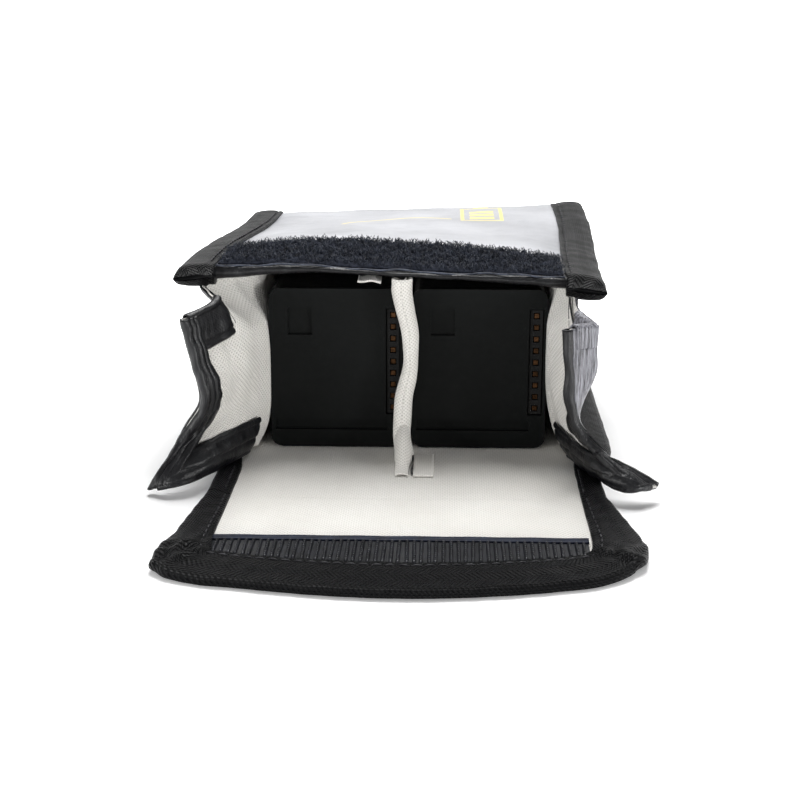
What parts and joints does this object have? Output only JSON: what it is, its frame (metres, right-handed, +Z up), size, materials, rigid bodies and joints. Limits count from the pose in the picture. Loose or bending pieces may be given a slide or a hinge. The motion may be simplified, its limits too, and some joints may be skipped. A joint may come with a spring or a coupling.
{
  "type": "lipo safe bag",
  "caption": "Fire-resistant battery pouch lying on its back, with a fold-over hook-and-loop flap, side wings and a padded divider between battery packs.",
  "frame": {"origin": "on the resting surface, under the middle of the front panel lip at the mouth", "axes": "+X to the right seen from the mouth, +Y from the mouth to the base of the pouch, +Z up, away from the resting surface"},
  "size_m": [0.1306, 0.214, 0.0563],
  "materials": {
    "outer_cloth": "silver-grey coated cloth, satin sheen with fine creases",
    "side_cloth": "black polyurethane-coated cloth, glossy and wrinkled, with stitched hems",
    "glass_lining": "off-white glass-fibre plain weave, matte with a faint silky sheen",
    "binding_tape": "black woven webbing, matte with a grey sheen on its ribs",
    "loop_pile": "blue-black brushed loop pile",
    "hook_tape": "black nylon hook tape with rows of hooks and a navy woven edge",
    "pack_plastic": "black fine-textured moulded plastic",
    "contact_metal": "gold-plated contacts, satin",
    "button_plastic": "dark grey semi-gloss moulded plastic"
  },
  "bodies": {
    "bag": {"front_shell": "outer_cloth", "front_lining": "glass_lining", "back_shell": "outer_cloth", "back_lining": "glass_lining", "base_shell": "outer_cloth", "base_lining": "glass_lining", "front_hem": "side_cloth", "loop_strip": "loop_pile", "divider_panel": "glass_lining", "divider_top_flange": "glass_lining", "left_gusset_shell": "side_cloth", "left_gusset_lining": "glass_lining", "left_binding_front": "binding_tape", "left_binding_back": "binding_tape", "left_binding_base": "binding_tape", "right_gusset_shell": "side_cloth", "right_gusset_lining": "glass_lining", "right_binding_front": "binding_tape", "right_binding_back": "binding_tape", "right_binding_base": "binding_tape"},
    "flap_cover": {"flap_cover_shell": "outer_cloth", "flap_cover_lining": "glass_lining", "left_flap_binding": "binding_tape", "right_flap_binding": "binding_tape"},
    "flap_tip": {"flap_tip_shell": "outer_cloth", "flap_tip_lining": "glass_lining", "flap_tip_binding": "binding_tape", "hook_strip": "hook_tape"},
    "left_wing": {"left_wing_shell": "side_cloth", "left_wing_lining": "glass_lining", "left_wing_front_hem": "side_cloth", "left_wing_top_hem": "side_cloth", "left_wing_bottom_hem": "side_cloth"},
    "right_wing": {"right_wing_shell": "side_cloth", "right_wing_lining": "glass_lining", "right_wing_front_hem": "side_cloth", "right_wing_top_hem": "side_cloth", "right_wing_bottom_hem": "side_cloth"},
    "left_battery": {"left_battery_case": "pack_plastic", "left_battery_end_cap": "pack_plastic", "left_battery_contact_block": "pack_plastic", "left_battery_contacts": "contact_metal"},
    "left_battery_button": {"left_battery_button": "button_plastic"},
    "right_battery": {"right_battery_case": "pack_plastic", "right_battery_end_cap": "pack_plastic", "right_battery_contact_block": "pack_plastic", "right_battery_contacts": "contact_metal"},
    "right_battery_button": {"right_battery_button": "button_plastic"}
  },
  "joints": [
    {"name": "flap_fold", "type": "hinge", "parent": "bag", "child": "flap_cover", "pos_m": [0, -0.008, 0.002], "axis": [1, 0, 0], "range_deg": [-90, 0]},
    {"name": "flap_tip_fold", "type": "hinge", "parent": "flap_cover", "child": "flap_tip", "pos_m": [0, -0.0642, 0.002], "axis": [1, 0, 0], "range_deg": [-90, 0]},
    {"name": "left_wing_fold", "type": "hinge", "parent": "bag", "child": "left_wing", "pos_m": [-0.0455, 0.003, 0.025], "axis": [0, 0, 1], "range_deg": [0, 95], "deforming": ["left_wing_shell", "left_wing_lining", "left_wing_front_hem", "left_wing_top_hem", "left_wing_bottom_hem"]},
    {"name": "right_wing_fold", "type": "hinge", "parent": "bag", "child": "right_wing", "pos_m": [0.0455, 0.003, 0.025], "axis": [0, 0, 1], "range_deg": [-95, 0], "deforming": ["right_wing_shell", "right_wing_lining", "right_wing_front_hem", "right_wing_top_hem", "right_wing_bottom_hem"]},
    {"name": "left_battery_slide", "type": "slide", "parent": "bag", "child": "left_battery", "axis": [0, -0.9999, 0.0125], "range_m": [0, 0.12]},
    {"name": "right_battery_slide", "type": "slide", "parent": "bag", "child": "right_battery", "axis": [0, -0.9999, 0.0125], "range_m": [0, 0.12]},
    {"name": "left_battery_button_press", "type": "slide", "parent": "left_battery", "child": "left_battery_button", "axis": [0, -1, 0], "range_m": [0, 0.001], "stiffness_N_per_m": 400},
    {"name": "right_battery_button_press", "type": "slide", "parent": "right_battery", "child": "right_battery_button", "axis": [0, -1, 0], "range_m": [0, 0.001], "stiffness_N_per_m": 400}
  ],
  "couplings": [
    {"joint": "left_wing_fold", "follows": "flap_fold", "ratio": -1.05},
    {"joint": "right_wing_fold", "follows": "flap_fold", "ratio": 1.05}
  ]
}
